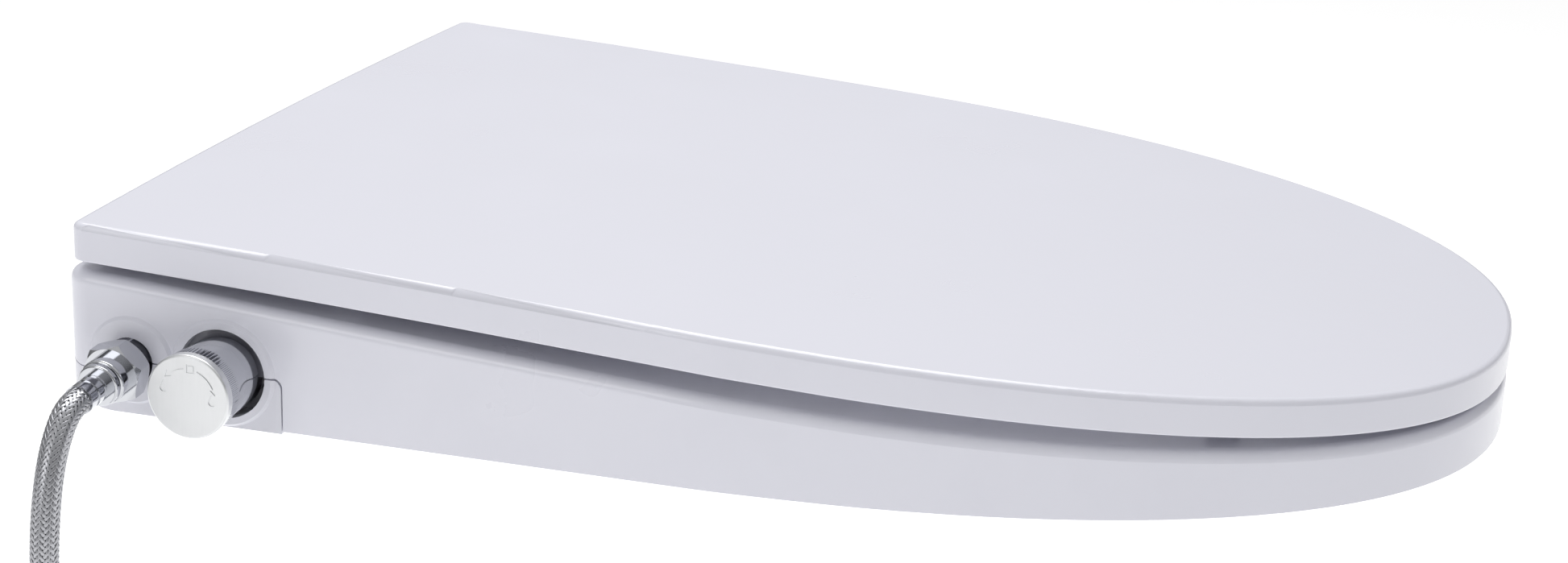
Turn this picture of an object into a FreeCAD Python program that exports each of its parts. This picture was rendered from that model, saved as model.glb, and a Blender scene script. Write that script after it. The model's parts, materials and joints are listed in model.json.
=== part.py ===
import FreeCAD, Part
import math
import os

# A slim water-powered bidet seat for an elongated toilet bowl: a fixed housing at the back,
# a seat ring and a lid that turn on one hinge line, a side knob, and a braided supply hose.
# Millimetres. +Z is up and the front is towards -Y, so the knob and hose are on -X.
# The origin lies midway between the two fixing bolts, on the plane of the bowl's rim.

V = FreeCAD.Vector

# ---- overall sizes ----
seat_half = 186.0            # half the seat's width
lid_half = seat_half + 1.5
front_tip = -466.0           # the lid's foremost point
side_end = -170.0            # where the straight sides end and the rounded front starts
front_fullness = 2.25        # exponent of the front's superellipse: 2 is an ellipse
back_bow_radius = 4500.0     # the back edge is very slightly bowed
lid_back = 56.5
lid_corner = 5.0
seat_back = 61.0
seat_corner = 10.0
rear_round = 23.5            # round at the back of the underside, seen from the side
rear_lean_top = seat_back - 4.0  # the seat's back face leans forward to here at its top

# ---- heights ----
rim_plane = 0.0
tray_bottom = 0.5
skirt_bottom = 1.5
seam_height = 21.5           # where the seat's skirt meets the fixed housing
seam_front = -30.0
seam_gap = 0.6
seam_corner = 4.0
height_start = 45.0          # both top surfaces are measured from here towards the front
height_run = height_start - front_tip
lid_back_height = 72.6
lid_drop = 33.99             # how much lower the lid is at its front
lid_crown = 3.06
lid_rim = 14.5
lid_round = 2.5
lid_back_round = 12.5
seat_back_height = 53.5
seat_drop = 31.82
seat_dish = -1.835
seat_round = 4.5

# ---- walls ----
lid_wall = 3.0
lid_plate = 4.0
skirt_wall = 3.0
deck_wall = 4.0
housing_wall = 2.5
deck_to_cover = 3.0          # free height between the seat's deck and the housing

# ---- seat opening ----
opening_half = 105.0
opening_back = -105.0
opening_wide = -255.0        # where the opening is widest
opening_front = front_tip + 66.0
opening_fullness = 2.2
lip_bottom = 6.0
passage_half = 30.0          # free way for the nozzles under the opening's back edge
passage_height = 15.0

# ---- hinge line ----
hinge_y = 49.5
hinge_z = seam_height + 8.0
pin_radius = 3.0
running_gap = 0.05
arm_width = 14.0
barrel_radius = 7.0
lug_radius = 6.5
lid_arm_x = seat_half - 68.0
seat_arm_x = seat_half - 36.0
bay_inner = seat_half - 83.0  # the hinge bay on each side, open to the back
bay_outer = seat_half - 21.0
bay_front = 38.5
lug_width = 5.5
lobe_radius = 12.6           # the skirt's end turns inside this radius
dip_radius = 13.0            # and the fixed strip is hollowed to this one
pocket_inner = seat_half - 18.0
wrap_inner = seat_half - 14.0
damper_radius = 8.0
damper_length = 14.0

# ---- housing ----
cover_half = seat_half - 6.0
cover_shoulder = 36.0        # the cover is full width only in front of this line
cover_back = 56.5
nose_half = 75.0
nose_front = -80.0
floor_wall = 2.5
fit_gap = 0.3
screw_radius = 1.5
screw_head = 3.2
boss_radius = 4.5
cover_screws = [(seat_half - 71.0, -21.0), (bay_inner - 13.0, 45.0), (nose_half - 20.0, -62.0)]
screw_length = 28.0
foot_places = [(seat_half - 36.0, -18.0), (seat_half - 36.0, 20.0)]
foot_radius = 8.0

# ---- bowl fixing ----
bolt_spacing = 140.0
bolt_radius = 4.0
bolt_length = 40.0
plate_half_x = bolt_spacing / 2 + 28.0
plate_half_y = 25.0
plate_thick = 4.0
slot_half = 8.0              # how far the bolt can shift in its slot, each way
washer_thick = 1.5
recess_height = 8.5

# ---- knob and valve ----
side_face = seat_half + 0.5  # the knob's and hose's reaches are measured from here
knob_y = -7.0
knob_z = seam_height
knob_hole = 17.2
knob_ring = 20.7
knob_barrel = 14.8
knob_grip = 15.6
knob_face = 16.0
cap_thick = 3.5
knob_reach = 27.0
grip_ribs = 72
grip_groove = 0.42
ring_proud = 1.3
ring_slope = 1.0             # half the width of each raised ring's sloping edge
spindle_radius = 3.0
valve_radius = 13.0
valve_outer = seat_half - 9.0
valve_inner = seat_half - 54.0
neck_radius = 6.0            # the threaded neck that the spindle comes out of

# ---- the marks on the knob's face ----
mark_lean = 8.0              # the whole pattern leans this far towards the front, degrees
mark_depth = 0.3
mark_radius = 11.0
square_half = 1.6
rear_arc = (-14.0, -47.0)    # from beside the square to its arrow head
front_arc = (14.0, 60.0)
drop_angles = (-84.0, 88.0)

# ---- water inlet ----
inlet_y = 30.0
inlet_z = seam_height + 0.2
inlet_tilt = 4.0             # the inlet droops a little
inlet_hole = 9.2
inlet_ring = 17.0
union_radius = 7.2
nut_flats = 21.0
nut_start = 5.5
nut_end = 15.0
neck_end = 22.0
flange_end = 25.0
ferrule_end = 38.0

# ---- supply hose ----
hose_radius = 5.0
ferrule_radius = hose_radius + 0.6
hose_route = [               # how far out from the side face and below the inlet it runs
    (44.5, 3.11),
    (52.1, 9.5),
    (58.1, 19.1),
    (61.9, 30.2),
    (64.5, 42.7),
    (66.0, 56.7),
    (66.7, 78.7),
    (66.2, 115.7),
    (63.8, 171.7),
    (64.9, 243.7),
    (67.3, 309.7),
    (66.7, 359.7),
]
supply_flats = 25.0
supply_thread = 9.3
supply_thread_length = 9.0

# ---- nozzles ----
nozzle_tilt = 14.0
nozzle_tip_y = -72.0
nozzle_tip_z = 9.0
nozzle_x = 11.0
nozzle_radius = 4.6
nozzle_travel = 55.0
spring_stack = 11.0          # the return spring's length when the nozzle is out
spring_wire = 0.35
piston_radius = nozzle_radius + 1.5
piston_length = 6.0
chamber_radius = piston_radius + 0.1
collar_start = 22.0
collar_length = 6.0
nozzle_length = collar_start + collar_length + spring_stack + nozzle_travel + piston_length
chamber_end = nozzle_length + 7.0
barb_radius = 2.2

# ---- guard gate ----
gate_half = 22.0
gate_y = -77.0
gate_z = seam_height + 3.5
gate_bottom = gate_z - 11.0
gate_pin_radius = 1.2

# ---- release button ----
button_y = 11.0
button_z = 11.0
button_half_y = 12.0
button_half_z = 6.0
button_proud = 2.0
button_travel = 4.0
button_depth = 6.0           # how far the button reaches in behind the wall
spring_length = 15.0

# ---- small rubber and screws under the seat ring ----
seat_bumper_places = [(seat_half - 36.0, -112.0), (seat_half - 72.0, front_tip + 104.0)]
lid_bumper_places = [(seat_half - 41.0, -40.0), (seat_half - 78.0, front_tip + 98.0)]
seat_screw_places = [
    (seat_half - 40.0, -62.0),
    (seat_half - 34.0, -172.0),
    (seat_half - 42.0, -275.0),
    (seat_half - 94.0, front_tip + 56.0),
]
bumper_stand = 8.0           # how high the lid's posts end above the seat
underplate_bottom = 5.5
underplate_thick = 2.5

LEFT_RIGHT = (-1, 1)
TALL = 90.0


# ---- basic solids ----
def block(x, y, z):
    """A box between two x, two y and two z values."""
    return Part.makeBox(x[1] - x[0], y[1] - y[0], z[1] - z[0], V(x[0], y[0], z[0]))


def rod(radius, start, way, length):
    """A cylinder from a start point along a direction."""
    return Part.makeCylinder(radius, length, V(*start), V(*way))


def across(radius, y, z, x):
    """A cylinder parallel to X between two x values."""
    return rod(radius, (min(x), y, z), (1, 0, 0), abs(x[1] - x[0]))


def ring(outer, inner, start, way, length):
    """A tube with a wall from inner to outer radius."""
    return rod(outer, start, way, length).cut(rod(inner, start, way, length))


def joined(shapes):
    """All the shapes fused into one, with needless seams removed."""
    first, rest = shapes[0], shapes[1:]
    return first.fuse(rest).removeSplitter() if rest else first


def both_sides(make):
    """The solids that make(side) gives for the -X and the +X side."""
    return [make(side) for side in LEFT_RIGHT]


def span(side, near, far):
    """Two x values on one side, the lower one first."""
    return tuple(sorted((side * near, side * far)))


def hexagon(flats, start, length):
    """A hexagonal bar along -X from x = start, with a corner 15 degrees off the top."""
    radius = flats / 2 / math.cos(math.pi / 6)
    corners = []
    for i in range(7):
        turn = math.radians(105 + 60 * i)
        corners.append(V(start, radius * math.cos(turn), radius * math.sin(turn)))
    return Part.Face(Part.makePolygon(corners)).extrude(V(-length, 0, 0))


# ---- the plan outlines ----
def superellipse(half, depth, fullness, steps=32):
    """Points from (half, 0) round to (-half, 0), reaching depth on the far side."""
    points = []
    for i in range(steps + 1):
        turn = math.pi * i / steps
        c, s = math.cos(turn), max(math.sin(turn), 0.0)
        x = math.copysign(abs(c) ** (2 / fullness), c) * half
        points.append(V(x, depth * s ** (2 / fullness), 0))
    return points


def smooth(points, start_way, end_way):
    """A curve through the points with set end directions."""
    curve = Part.BSplineCurve()
    curve.interpolate(Points=points, InitialTangent=start_way, FinalTangent=end_way)
    return curve.toShape()


def plan_wire(half, back, tip, corner):
    """The outline shared by the lid, the seat and all that follows them."""
    centre_y = back - back_bow_radius
    corner_y = centre_y + math.sqrt((back_bow_radius - corner) ** 2 - (half - corner) ** 2)
    way = V(half - corner, corner_y - centre_y, 0).normalize()
    touch = V(0, centre_y, 0) + way * back_bow_radius
    middle = V(half - corner, corner_y, 0) + (way + V(1, 0, 0)).normalize() * corner
    end = V(half, corner_y, 0)

    def flip(p):
        return V(-p.x, p.y, p.z)

    front = [p + V(0, side_end, 0) for p in superellipse(half, tip - side_end, front_fullness)]
    return Part.Wire([
        Part.Arc(flip(touch), V(0, back, 0), touch).toShape(),
        Part.Arc(touch, middle, end).toShape(),
        Part.LineSegment(end, front[0]).toShape(),
        smooth(front, V(0, -1, 0), V(0, 1, 0)),
        Part.LineSegment(front[-1], flip(end)).toShape(),
        Part.Arc(flip(end), flip(middle), flip(touch)).toShape(),
    ])


def opening_wire(grow):
    """The outline of the seat's opening, grown outwards by a wall or a gap."""
    half = opening_half + grow
    back = superellipse(half, opening_back + grow - opening_wide, opening_fullness, 16)
    front = superellipse(half, opening_front - grow - opening_wide, opening_fullness, 16)
    points = [p + V(0, opening_wide, 0) for p in back[:-1] + list(reversed(front))[:-1]]
    curve = Part.BSplineCurve()
    curve.interpolate(Points=points, PeriodicFlag=True)
    return Part.Wire([curve.toShape()])


def prism(wire, low, high):
    """A flat outline raised into a solid between two heights."""
    solid = Part.Face(wire).extrude(V(0, 0, high - low))
    solid.translate(V(0, 0, low))
    return solid


def seat_prism(inset, low, high):
    """The seat's outline moved inwards all round."""
    tip = front_tip + inset
    corner = max(seat_corner - inset, 1.0)
    return prism(plan_wire(seat_half - inset, seat_back - inset, tip, corner), low, high)


def lid_prism(inset, low, high):
    """The lid's outline moved inwards all round."""
    tip = front_tip + inset
    corner = max(lid_corner - inset, 1.0)
    return prism(plan_wire(lid_half - inset, lid_back - inset, tip, corner), low, high)


# ---- the long curved surfaces ----
def lid_top(y):
    """The height of the lid's top at y."""
    run = height_start - y
    bend = 4 * (run / height_run) * (1 - run / height_run)
    return lid_back_height - lid_drop * run / height_run + lid_crown * bend


def seat_top(y):
    """The height of the seat's top at y."""
    run = height_start - y
    bend = 4 * (run / height_run) * (1 - run / height_run)
    return seat_back_height - seat_drop * run / height_run + seat_dish * bend


def below(height, shift):
    """Everything under a long shallow arc, such as all that lies under the lid's top."""
    half, low = seat_half + 40, -20.0
    ends = (seat_back + 25, (seat_back + front_tip) / 2, front_tip - 25)
    a, b, c = [V(-half, y, height(y) + shift) for y in ends]
    low_c, low_a = V(-half, c.y, low), V(-half, a.y, low)
    outline = Part.Wire([
        Part.Arc(a, b, c).toShape(),
        Part.LineSegment(c, low_c).toShape(),
        Part.LineSegment(low_c, low_a).toShape(),
        Part.LineSegment(low_a, a).toShape(),
    ])
    return Part.Face(outline).extrude(V(2 * half, 0, 0))


def rear_mask(inset):
    """The part's outline at the back, seen from the side: a lean, then a large round below."""
    half, front = seat_half + 40, front_tip - 40
    centre_y, centre_z = seat_back - rear_round, tray_bottom + rear_round
    slant = rear_round * math.sqrt(0.5)
    low = V(-half, centre_y - inset, tray_bottom)
    mid = V(-half, centre_y - inset + slant, centre_z - slant)
    back = V(-half, seat_back - inset, centre_z)
    top_front = V(-half, front, TALL)
    points = [back, V(-half, rear_lean_top - inset, 50.0), V(-half, rear_lean_top - 1 - inset, TALL)]
    points += [top_front, V(-half, front, tray_bottom), low]
    edges = [Part.Arc(low, mid, back).toShape()]
    edges += [Part.LineSegment(a, b).toShape() for a, b in zip(points[:-1], points[1:])]
    return Part.Face(Part.Wire(edges)).extrude(V(2 * half, 0, 0))


def seam_block(gap):
    """The side-view space of the fixed housing below the seam, grown by a gap."""
    half = seat_half + 40
    solid = block((-half, half), (seam_front - gap, TALL), (-5, seam_height + gap))
    corner = [e for e in solid.Edges
              if abs(e.CenterOfMass.y - seam_front + gap) < 0.01
              and abs(e.CenterOfMass.z - seam_height - gap) < 0.01]
    return solid.makeFillet(seam_corner, corner)


def edges_where(shape, test):
    """The edges whose ends and middle all pass a test."""
    found = []
    for edge in shape.Edges:
        first, last = edge.ParameterRange
        if all(test(edge.valueAt(first + (last - first) * t)) for t in (0.02, 0.5, 0.98)):
            found.append(edge)
    return found


def round_bowed_edge(solid, back, top, radius):
    """Rounds the upper edge of a bowed back, following the bow."""
    y, z = back - radius, top - radius
    slant = radius * math.sqrt(0.5)
    outline = [(y, top), (y, TALL), (back + radius, TALL), (back + radius, z), (back, z)]
    corners = [V(0, a, b) for a, b in outline]
    edges = [Part.Arc(corners[-1], V(0, y + slant, z + slant), corners[0]).toShape()]
    edges += [Part.LineSegment(a, b).toShape() for a, b in zip(corners[:-1], corners[1:])]
    cutter = Part.Face(Part.Wire(edges))
    centre, turn = V(0, back - back_bow_radius, 0), math.degrees((seat_half + 40) / back_bow_radius)
    cutter.rotate(centre, V(0, 0, 1), -turn)
    return solid.cut(cutter.revolve(centre, V(0, 0, 1), 2 * turn))


def round_back_edge(solid, back, top, radius):
    """Rounds the upper edge of a straight back with a radius of its own."""
    y, z = back - radius, top - radius
    corner = block((-280, 280), (y, y + 40), (z, TALL))
    return solid.cut(corner.cut(across(radius, y, z, (-280, 280))))


# ---- the lid ----
def lid_arm(side):
    """One of the two arms that carry the lid down to the hinge line."""
    x = span(side, lid_arm_x - arm_width / 2, lid_arm_x + arm_width / 2)
    web = block(x, (hinge_y - barrel_radius, lid_back - 1.0), (hinge_z, lid_top(lid_back) - lid_plate))
    barrel = across(barrel_radius, hinge_y, hinge_z, x)
    bore = across(pin_radius + running_gap, hinge_y, hinge_z, (x[0] - 1, x[1] + 1))
    return web.fuse(barrel).cut(bore)


def lid_boss(place, side):
    """A post under the lid that holds one rubber bumper."""
    x, y = side * place[0], place[1]
    low = seat_top(y) + bumper_stand
    return rod(6.5, (x, y, low), (0, 0, 1), lid_top(y) - lid_plate / 2 - low)


def lid_panel():
    solid = lid_prism(0, 0, TALL).common(below(lid_top, 0)).cut(below(lid_top, -lid_rim))
    upper = edges_where(solid, lambda p: abs(p.z - lid_top(p.y)) < 0.8)
    solid = solid.makeFillet(lid_round, upper)
    lower = edges_where(solid, lambda p: abs(p.z - lid_top(p.y) + lid_rim) < 0.8)
    solid = solid.makeFillet(0.8, lower)
    hollow = lid_prism(lid_wall, -10, TALL).common(below(lid_top, -lid_plate))
    inner_back, inner_top = lid_back - lid_wall, lid_top(lid_back) - lid_plate
    hollow = round_bowed_edge(hollow, inner_back, inner_top, lid_back_round - lid_wall)
    solid = solid.cut(hollow)
    arms = both_sides(lid_arm)
    bosses = [lid_boss(p, s) for p in lid_bumper_places for s in LEFT_RIGHT]
    solid = joined([solid] + arms + bosses)
    return round_bowed_edge(solid, lid_back, lid_top(lid_back) + 0.4, lid_back_round)


def lid_bumpers():
    """Four soft feet between the lid and the seat."""
    feet = []
    for x, y in lid_bumper_places:
        for side in LEFT_RIGHT:
            low = seat_top(y) + 0.7
            feet.append(rod(5.5, (side * x, y, low), (0, 0, 1), seat_top(y) + bumper_stand - low))
    return Part.makeCompound(feet)


# ---- the seat ----
def seat_arm(side):
    """One of the two arms that carry the seat on the hinge line."""
    x = span(side, seat_arm_x - arm_width / 2, seat_arm_x + arm_width / 2)
    top = seat_top(hinge_y) - deck_wall / 2
    web = block(x, (hinge_y - barrel_radius, hinge_y + 1.0), (hinge_z, top))
    barrel = across(barrel_radius, hinge_y, hinge_z, x)
    bore = across(pin_radius + running_gap, hinge_y, hinge_z, (x[0] - 1, x[1] + 1))
    return web.fuse(barrel).cut(bore)


def collars(x):
    """The raised rings round the knob's and the inlet's openings."""
    rings = []
    for radius, y, z in ((knob_ring, knob_y, knob_z), (inlet_ring, inlet_y, inlet_z)):
        wide, narrow = radius + ring_slope, radius - ring_slope
        rings.append(Part.makeCone(wide, narrow, x[1] - x[0], V(x[1], y, z), V(-1, 0, 0)))
    return rings[0].fuse(rings[1]).cut(openings(x))


def openings(x):
    """The round openings for the knob and the inlet."""
    knob = across(knob_hole, knob_y, knob_z, x)
    return knob.fuse(across(inlet_hole, inlet_y, inlet_z, x))


def seat_boss(place, side):
    """A post under the seat's deck for one screw."""
    x, y = side * place[0], place[1]
    low = underplate_bottom + underplate_thick
    post = rod(boss_radius, (x, y, low), (0, 0, 1), seat_top(y) - deck_wall / 2 - low)
    return post.cut(rod(screw_radius, (x, y, low), (0, 0, 1), 14.0))


def seat_ring():
    solid = seat_prism(0, skirt_bottom, TALL).cut(prism(opening_wire(0), -10, TALL))
    solid = solid.common(below(seat_top, 0))
    rim = edges_where(solid, lambda p: abs(p.z - seat_top(p.y)) < 0.8)
    solid = solid.makeFillet(seat_round, rim).common(rear_mask(0))
    solid = round_back_edge(solid, rear_lean_top, seat_top(rear_lean_top), seat_round)
    under_deck = below(seat_top, -deck_wall)
    hollow = seat_prism(skirt_wall, -10, TALL).common(rear_mask(skirt_wall)).common(under_deck)
    hollow = hollow.cut(prism(opening_wire(skirt_wall), lip_bottom, TALL))
    bosses = [seat_boss(p, s) for p in seat_screw_places for s in LEFT_RIGHT]
    solid = joined([solid.cut(hollow)] + bosses)
    middle = block((-wrap_inner, wrap_inner), (hinge_y, TALL), (-5, TALL)).common(under_deck)
    seam = seam_block(seam_gap).cut(across(lobe_radius, hinge_y, hinge_z, (-250, 250)))
    passage = block((-passage_half, passage_half), (opening_back - 30, 0), (-5, passage_height))
    wall_x = (-seat_half - 5, -seat_half + skirt_wall + 8)
    solid = solid.cut([middle, seam, passage])
    proud = collars((-seat_half - ring_proud, -seat_half + 1)).cut(seam_block(seam_gap))
    solid = solid.fuse(proud).cut(openings(wall_x))
    half = arm_width / 2 + 1.5
    for side in LEFT_RIGHT:
        slot_x = span(side, lid_arm_x - half, lid_arm_x + half)
        solid = solid.cut(block(slot_x, (hinge_y - 9, TALL), (0, TALL)))
    return joined([solid] + both_sides(seat_arm))


def seat_underplate():
    """The flat plate that closes the seat ring from below."""
    low, high = underplate_bottom, underplate_bottom + underplate_thick
    plate = seat_prism(skirt_wall + fit_gap, low, high)
    plate = plate.cut(prism(opening_wire(skirt_wall + fit_gap), -10, TALL))
    back = block((-TALL * 3, TALL * 3), (seam_front - 3, TALL), (-5, TALL))
    nose = block((-nose_half - 3, nose_half + 3), (nose_front - 4, TALL), (-5, TALL))
    passage = block((-passage_half, passage_half), (opening_back - 30, 0), (-5, TALL))
    holes = [rod(screw_radius + fit_gap, (s * x, y, 0), (0, 0, 1), 20)
             for x, y in seat_screw_places for s in LEFT_RIGHT]
    sockets = [rod(3.0, (s * x, y, 0), (0, 0, 1), 20)
               for x, y in seat_bumper_places for s in LEFT_RIGHT]
    return plate.cut([back, nose, passage] + holes + sockets)


def seat_screws():
    """Eight screws that hold the underplate."""
    screws = []
    for x, y in seat_screw_places:
        for side in LEFT_RIGHT:
            head = rod(screw_head, (side * x, y, underplate_bottom - 1.6), (0, 0, 1), 1.6)
            shank = rod(screw_radius, (side * x, y, underplate_bottom - 1.6), (0, 0, 1), 14.0)
            screws.append(head.fuse(shank))
    return Part.makeCompound(screws)


def seat_bumpers():
    """Four rubber feet that stand on the bowl's rim."""
    feet = []
    for x, y in seat_bumper_places:
        for side in LEFT_RIGHT:
            pad = rod(10.0, (side * x, y, rim_plane), (0, 0, 1), underplate_bottom - rim_plane)
            pad = pad.makeFillet(1.5, edges_where(pad, lambda p: p.z < rim_plane + 0.1))
            stem = rod(3.0, (side * x, y, rim_plane), (0, 0, 1), underplate_bottom + 5.0)
            feet.append(pad.fuse(stem))
    return Part.makeCompound(feet)


# ---- the fixed housing ----
def screw_bosses(low, high, hole):
    """Posts at the housing's screw places."""
    posts = []
    for x, y in cover_screws:
        for side in LEFT_RIGHT:
            start = (side * x, y, low)
            posts.append(ring(boss_radius, hole, start, (0, 0, 1), high - low))
    return posts


def hinge_block(side):
    """The solid floor of one hinge bay with its two lugs."""
    y = (bay_front, seat_back - housing_wall / 2)
    base = block(span(side, bay_inner, bay_outer), y, (tray_bottom + 1, seam_height))
    lugs = []
    for near in (bay_inner, bay_outer - lug_width):
        x = span(side, near, near + lug_width)
        post = block(x, (hinge_y - lug_radius, hinge_y + lug_radius), (seam_height - 1, hinge_z))
        lugs.append(post.fuse(across(lug_radius, hinge_y, hinge_z, x)))
    hole = across(pin_radius, hinge_y, hinge_z, span(side, bay_inner - 1, bay_outer + 1))
    return joined([base] + lugs).common(rear_mask(0)).cut(hole)


def housing_base():
    """The tray that stands on the bowl and carries everything else."""
    strip = seat_prism(0, tray_bottom, seam_height).common(rear_mask(0)).common(seam_block(0))
    nose = block((-nose_half, nose_half), (nose_front, seam_front + 5), (tray_bottom, seam_height))
    solid = strip.fuse(nose)
    floor = tray_bottom + floor_wall
    wall = housing_wall
    room = block((-300, 300), (seam_front + wall, 300), (floor, TALL))
    hollow = seat_prism(wall, floor, TALL).common(rear_mask(wall)).common(room)
    nose_room = block((-nose_half + wall, nose_half - wall), (nose_front + wall, 0), (floor, TALL))
    solid = solid.cut([hollow, nose_room])
    reach_x, reach_y = plate_half_x + fit_gap + 1, plate_half_y + fit_gap + 1
    step_x, step_y = reach_x + wall, reach_y + wall
    step = block((-step_x, step_x), (-step_y, step_y), (tray_bottom, recess_height + wall))
    bosses = screw_bosses(floor - 1, seam_height - 2, screw_radius + fit_gap)
    solid = joined([solid, step] + bosses + both_sides(hinge_block))
    recess = block((-reach_x, reach_x), (-reach_y, reach_y), (-5, recess_height))
    gate_x = (-gate_half - 2, gate_half + 2)
    gate_way = block(gate_x, (nose_front - 1, nose_front + wall + 1), (tray_bottom + 1, TALL))
    rib_x = seat_half - button_depth - spring_length
    rib = block((rib_x - 2.5, rib_x), (button_y - 14, button_y - 5.5), (floor - 0.5, button_z + 5))
    solid = joined([solid, rib])
    cuts = [recess, gate_way]
    for x, y in cover_screws:
        for side in LEFT_RIGHT:
            cuts.append(rod(screw_radius + fit_gap, (side * x, y, -1), (0, 0, 1), 8))
            cuts.append(rod(screw_head + fit_gap, (side * x, y, -1), (0, 0, 1), tray_bottom + 1 + 1.6))
    for side in LEFT_RIGHT:
        cuts.append(across(dip_radius, hinge_y, hinge_z, span(side, pocket_inner, 250)))
    for x, y in foot_places:
        for side in LEFT_RIGHT:
            cuts.append(rod(foot_radius, (side * x, y, -1), (0, 0, 1), tray_bottom + 1 + 1))
    cuts.append(openings((-seat_half - 5, -seat_half + wall + 3)))
    cuts.append(button_shape(seat_half - wall - 1, seat_half + 5, fit_gap))
    cuts.append(block((reach_x - 1, step_x + 1), (button_y - 6, button_y + 6), (4.6, 7.6)))
    solid = solid.cut(cuts)
    proud = collars((-seat_half - ring_proud, -seat_half + 1)).common(seam_block(0)).common(rear_mask(0))
    proud = proud.cut(across(dip_radius, hinge_y, hinge_z, (-250, 0)))
    return joined([solid, proud])


def cover_plan(inset, low):
    """The cover's plan as one tall solid: wide shoulders, a narrow back and the nose."""
    parts = []
    for half, front, rear in (
            (cover_half, seam_front + 3 + inset, cover_shoulder - inset),
            (bay_inner - fit_gap, 0, cover_back - inset),
            (nose_half - 3, nose_front + inset, 0)):
        parts.append(block((inset - half, half - inset), (front, rear), (low, TALL)))
    return parts[0].fuse(parts[1:])


def housing_cover():
    """The splash cover over the valve, tubes and nozzles, under the seat's deck."""
    top = -deck_wall - deck_to_cover
    solid = cover_plan(0, seam_height).common(below(seat_top, top))
    solid = solid.cut(cover_plan(housing_wall, 0).common(below(seat_top, top - housing_wall)))
    flange = cover_plan(0, seam_height - 2).common(block((-300, 300), (-300, 300), (0, seam_height)))
    inner = cover_plan(housing_wall, 0)
    flange = flange.cut(inner)
    tray_wall = (nose_front - 1, nose_front + housing_wall + 0.2)
    keep_out = block((-nose_half + 2.6, nose_half - 2.6), tray_wall, (0, seam_height))
    back_wall = block((-200, 200), (seat_back - housing_wall - 1.0, 80), (0, seam_height))
    flange = flange.cut([keep_out, back_wall])
    posts = []
    for x, y in cover_screws:
        for side in LEFT_RIGHT:
            high = seat_top(y) + top - housing_wall / 2
            low = seam_height - 2
            posts.append(rod(boss_radius, (side * x, y, low), (0, 0, 1), high - low))
    for side in LEFT_RIGHT:
        cheek_x = span(side, gate_half + 2.5, gate_half + 6.5)
        posts.append(block(cheek_x, (nose_front, nose_front + 8), (seam_height, gate_z + 6)))
    solid = joined([solid, flange] + posts)
    cuts = [rod(screw_radius, (s * x, y, 0), (0, 0, 1), screw_length + 4)
            for x, y in cover_screws for s in LEFT_RIGHT]
    gate_x = (-gate_half - 2, gate_half + 2)
    cuts.append(block(gate_x, (nose_front - 1, nose_front + 3), (0, gate_z + 3.5)))
    cuts.append(across(gate_pin_radius, gate_y, gate_z, (-gate_half - 5, gate_half + 5)))
    cuts.append(across(9.5, knob_y, knob_z, (-cover_half - 1, -cover_half + 4)))
    cuts.append(on_nozzle(holder_block(running_gap)))
    notch = (-cover_half - 5, -valve_inner + 12)
    cuts.append(block(notch, (inlet_y - 9.0, cover_shoulder + 5), (0, inlet_z + 12)))
    return solid.cut(cuts)


def housing_screws():
    """Six screws from below that hold the cover to the tray."""
    screws = []
    for x, y in cover_screws:
        for side in LEFT_RIGHT:
            base = (side * x, y, tray_bottom)
            shank = rod(screw_radius, base, (0, 0, 1), screw_length)
            screws.append(rod(screw_head, base, (0, 0, 1), 1.5).fuse(shank))
    return Part.makeCompound(screws)


def foot_pads():
    """Four thin rubber pads under the tray."""
    pads = []
    for x, y in foot_places:
        for side in LEFT_RIGHT:
            high = tray_bottom + 1 - rim_plane
            pads.append(rod(foot_radius, (side * x, y, rim_plane), (0, 0, 1), high))
    return Part.makeCompound(pads)


# ---- the bowl fixing ----
def mounting_plate():
    """The plate that stays bolted to the bowl when the seat is slid off."""
    x, y = (-plate_half_x, plate_half_x), (-plate_half_y, plate_half_y)
    solid = block(x, y, (rim_plane, plate_thick))
    middle = (rim_plane + plate_thick) / 2
    corners = [e for e in solid.Edges if abs(e.CenterOfMass.z - middle) < 0.01]
    solid = solid.makeFillet(8.0, corners)
    slots = []
    for side in LEFT_RIGHT:
        x = side * bolt_spacing / 2
        half = bolt_radius + fit_gap
        slots.append(block((x - half, x + half), (-slot_half, slot_half), (-1, plate_thick + 1)))
        for end in (-slot_half, slot_half):
            slots.append(rod(half, (x, end, -1), (0, 0, 1), plate_thick + 2))
    neck = rod(2.0, (post_x(), button_y, plate_thick - 1), (0, 0, 1), recess_height - plate_thick)
    head = rod(3.2, (post_x(), button_y, recess_height - 1.0), (0, 0, 1), 0.8)
    return joined([solid.cut(slots), neck, head])


def post_x():
    """Where the latch post stands on the plate."""
    return plate_half_x - 7.0


def fixing_bolts():
    """Two flat-headed bolts with square necks that pass down through the bowl's holes."""
    bolts = []
    head_low = plate_thick + washer_thick
    for side in LEFT_RIGHT:
        x = side * bolt_spacing / 2
        head = block((x - 8, x + 8), (-8, 8), (head_low, recess_height - fit_gap))
        neck = block((x - bolt_radius, x + bolt_radius), (-bolt_radius, bolt_radius), (rim_plane, head_low))
        shank = rod(bolt_radius, (x, 0, rim_plane), (0, 0, -1), bolt_length - head_low)
        bolts.append(joined([head, neck, shank]))
    return Part.makeCompound(bolts)


def slide_washers():
    """Two square washers that let the bolts shift along their slots."""
    washers = []
    for side in LEFT_RIGHT:
        x = side * bolt_spacing / 2
        plate = block((x - 11, x + 11), (-11, 11), (plate_thick, plate_thick + washer_thick))
        hole = bolt_radius + running_gap
        washers.append(plate.cut(block((x - hole, x + hole), (-hole, hole), (0, 20))))
    return Part.makeCompound(washers)


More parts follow.
